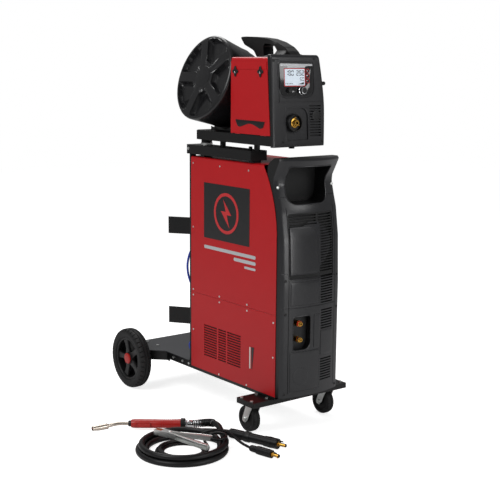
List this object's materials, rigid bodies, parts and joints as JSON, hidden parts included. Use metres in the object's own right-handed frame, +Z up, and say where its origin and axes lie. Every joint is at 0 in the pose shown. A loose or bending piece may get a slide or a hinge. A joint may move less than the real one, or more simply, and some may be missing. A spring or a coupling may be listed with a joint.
{
  "type": "mig welding machine on cart",
  "caption": "Water-cooled MIG welding power source on a wheeled cart, with a swivelling wire feeder, a tilted spool drum, a torch and an earth lead.",
  "frame": {"origin": "on the floor under the middle of the machine's box, without the torch and the earth lead that lie beside it", "axes": "+Z up; the front faces -Y; +X is the machine's right side seen from the back, so the door and the drum are on -X"},
  "size_m": [0.943, 1.1722, 1.453],
  "materials": {
    "black_frame_paint": "satin black powder coat on folded steel",
    "platform_paint": "worn dark grey powder coat",
    "zinc_steel": "zinc plated",
    "tyre_rubber": "matt black rubber",
    "black_nylon": "moulded, matt",
    "red_plastic": "gloss",
    "red_sheet": "gloss red paint on sheet steel",
    "galvanised_sheet": "galvanised",
    "grey_casing": "fine moulded texture, dark grey",
    "brass_fittings": "turned",
    "finned_aluminium": "extruded",
    "cable_rubber": "matt black",
    "latch_metal": "polished",
    "panel_plastic": "gloss dark grey",
    "key_plastic": "gloss black",
    "socket_plastic": "moulded black with a brass core",
    "handle_plastic": "semi gloss black",
    "drum_plastic": "charcoal, semi gloss",
    "steel_wire": "layer-wound bright wire",
    "torch_red": "moulded red grip",
    "neck_metal": "plated, heat stained",
    "plug_rubber": "moulded black rubber with brass pins"
  },
  "bodies": {
    "cart": {"base_frame": "black_frame_paint", "rear_platform": "platform_paint", "rear_axle": "zinc_steel", "caster_plates": "black_frame_paint", "fasteners": "zinc_steel", "cabinet_chassis": "galvanised_sheet", "top_cover": "red_sheet", "left_cooler_panel": "red_sheet", "right_cooler_panel": "red_sheet", "front_casing": "grey_casing", "water_couplings": "brass_fittings", "power_module": "finned_aluminium", "cooling_unit": "finned_aluminium", "bottle_brackets": "black_frame_paint", "rear_leads": "cable_rubber", "feeder_rail": "black_frame_paint", "feeder_pivot": "zinc_steel"},
    "left_wheel": {"left_tyre": "tyre_rubber", "left_rim": "black_nylon", "left_hub_cap": "red_plastic"},
    "right_wheel": {"right_tyre": "tyre_rubber", "right_rim": "black_nylon", "right_hub_cap": "red_plastic"},
    "left_fork": {"left_caster_fork": "zinc_steel"},
    "left_caster": {"left_caster_wheel": "black_nylon"},
    "right_fork": {"right_caster_fork": "zinc_steel"},
    "right_caster": {"right_caster_wheel": "black_nylon"},
    "fan": {"cooling_fan": "black_nylon"},
    "switch": {"mains_switch": "black_nylon"},
    "feeder": {"feeder_base": "black_frame_paint", "feeder_shell": "red_sheet", "feeder_bezel": "grey_casing", "display_panel": "panel_plastic", "torch_socket": "socket_plastic", "feeder_handle": "handle_plastic", "spool_housing": "drum_plastic", "wire_drive": "finned_aluminium"},
    "door": {"feeder_door": "red_sheet"},
    "rear_catch": {"rear_latch": "latch_metal"},
    "front_catch": {"front_latch": "latch_metal"},
    "drum_cover": {"spool_cover": "drum_plastic"},
    "spool": {"wire_spool": "steel_wire"},
    "roll": {"drive_roll": "steel_wire"},
    "arm": {"pressure_arm": "steel_wire"},
    "upper_key": {"upper_button": "key_plastic"},
    "middle_key": {"middle_button": "key_plastic"},
    "lower_key": {"lower_button": "key_plastic"},
    "encoder": {"encoder_knob": "key_plastic"},
    "mode": {"mode_knob": "key_plastic"},
    "torch_set": {"torch_handle": "torch_red", "torch_neck": "neck_metal", "torch_cable": "cable_rubber", "torch_coil": "cable_rubber", "torch_plug": "plug_rubber"},
    "trigger": {"torch_trigger": "black_nylon"},
    "earth_set": {"clamp_upper": "zinc_steel", "earth_cable": "cable_rubber", "earth_coil": "cable_rubber", "earth_plug": "plug_rubber"},
    "clamp_arm": {"clamp_lower": "zinc_steel"}
  },
  "joints": [
    {"name": "left_wheel_spin", "type": "hinge", "parent": "cart", "child": "left_wheel", "pos_m": [-0.239, 0.389, 0.125], "axis": [1, 0, 0], "continuous": true},
    {"name": "right_wheel_spin", "type": "hinge", "parent": "cart", "child": "right_wheel", "pos_m": [0.239, 0.389, 0.125], "axis": [1, 0, 0], "continuous": true},
    {"name": "left_caster_swivel", "type": "hinge", "parent": "cart", "child": "left_fork", "pos_m": [-0.182, -0.379, 0.11], "axis": [0, 0, 1], "continuous": true},
    {"name": "left_caster_spin", "type": "hinge", "parent": "left_fork", "child": "left_caster", "pos_m": [-0.182, -0.352, 0.05], "axis": [1, 0, 0], "continuous": true},
    {"name": "right_caster_swivel", "type": "hinge", "parent": "cart", "child": "right_fork", "pos_m": [0.182, -0.379, 0.11], "axis": [0, 0, 1], "continuous": true},
    {"name": "right_caster_spin", "type": "hinge", "parent": "right_fork", "child": "right_caster", "pos_m": [0.182, -0.352, 0.05], "axis": [1, 0, 0], "continuous": true},
    {"name": "fan_spin", "type": "hinge", "parent": "cart", "child": "fan", "pos_m": [0, 0.06, 0.72], "axis": [0, 1, 0], "continuous": true},
    {"name": "switch_turn", "type": "hinge", "parent": "cart", "child": "switch", "pos_m": [0.07, 0.098, 0.85], "axis": [0, 1, 0], "range_deg": [0, 90]},
    {"name": "feeder_swivel", "type": "hinge", "parent": "cart", "child": "feeder", "pos_m": [-0.105, 0.032, 1.06], "axis": [0, 0, 1], "range_deg": [-60, 60]},
    {"name": "door_hinge", "type": "hinge", "parent": "feeder", "child": "door", "pos_m": [-0.1513, -0.305, 1.0983], "axis": [0, -1, 0], "range_deg": [0, 100]},
    {"name": "rear_catch_turn", "type": "hinge", "parent": "door", "child": "rear_catch", "pos_m": [-0.155, -0.215, 1.318], "axis": [1, 0, 0], "range_deg": [0, 90]},
    {"name": "front_catch_turn", "type": "hinge", "parent": "door", "child": "front_catch", "pos_m": [-0.155, -0.362, 1.318], "axis": [1, 0, 0], "range_deg": [0, 90]},
    {"name": "cover_lift", "type": "slide", "parent": "feeder", "child": "drum_cover", "axis": [-0.9511, 0, 0.309], "range_m": [0, 0.17]},
    {"name": "spool_spin", "type": "hinge", "parent": "feeder", "child": "spool", "pos_m": [-0.156, -0.013, 1.298], "axis": [0.9511, 0, -0.309], "continuous": true},
    {"name": "roll_spin", "type": "hinge", "parent": "feeder", "child": "roll", "pos_m": [-0.061, -0.32, 1.122], "axis": [1, 0, 0], "continuous": true},
    {"name": "arm_lift", "type": "hinge", "parent": "feeder", "child": "arm", "pos_m": [-0.064, -0.232, 1.19], "axis": [-1, 0, 0], "range_deg": [0, 60]},
    {"name": "upper_key_press", "type": "slide", "parent": "feeder", "child": "upper_key", "axis": [0, 0.9984, -0.0565], "range_m": [0, 0.0015], "stiffness_N_per_m": 300},
    {"name": "middle_key_press", "type": "slide", "parent": "feeder", "child": "middle_key", "axis": [0, 0.9984, -0.0565], "range_m": [0, 0.0015], "stiffness_N_per_m": 300},
    {"name": "lower_key_press", "type": "slide", "parent": "feeder", "child": "lower_key", "axis": [0, 0.9984, -0.0565], "range_m": [0, 0.0015], "stiffness_N_per_m": 300},
    {"name": "encoder_turn", "type": "hinge", "parent": "feeder", "child": "encoder", "pos_m": [-0.014, -0.42491, 1.256], "axis": [0, -0.9984, 0.0565], "continuous": true},
    {"name": "mode_turn", "type": "hinge", "parent": "feeder", "child": "mode", "pos_m": [-0.074, -0.42491, 1.256], "axis": [0, -0.9984, 0.0565], "continuous": true},
    {"name": "torch_lift", "type": "slide", "parent": "cart", "child": "torch_set", "axis": [0, 0, 1], "range_m": [0, 0.3]},
    {"name": "trigger_press", "type": "hinge", "parent": "torch_set", "child": "trigger", "pos_m": [-0.51767, -0.1053, 0.022], "axis": [0, 0, 1], "range_deg": [0, 3.5], "stiffness_Nm_per_rad": 2},
    {"name": "earth_lift", "type": "slide", "parent": "torch_set", "child": "earth_set", "axis": [0, 0, 1], "range_m": [0, 0.3]},
    {"name": "clamp_open", "type": "hinge", "parent": "earth_set", "child": "clamp_arm", "pos_m": [-0.524, -0.334, 0.053], "axis": [0, 0, 1], "range_deg": [0, 15], "stiffness_Nm_per_rad": 3}
  ]
}
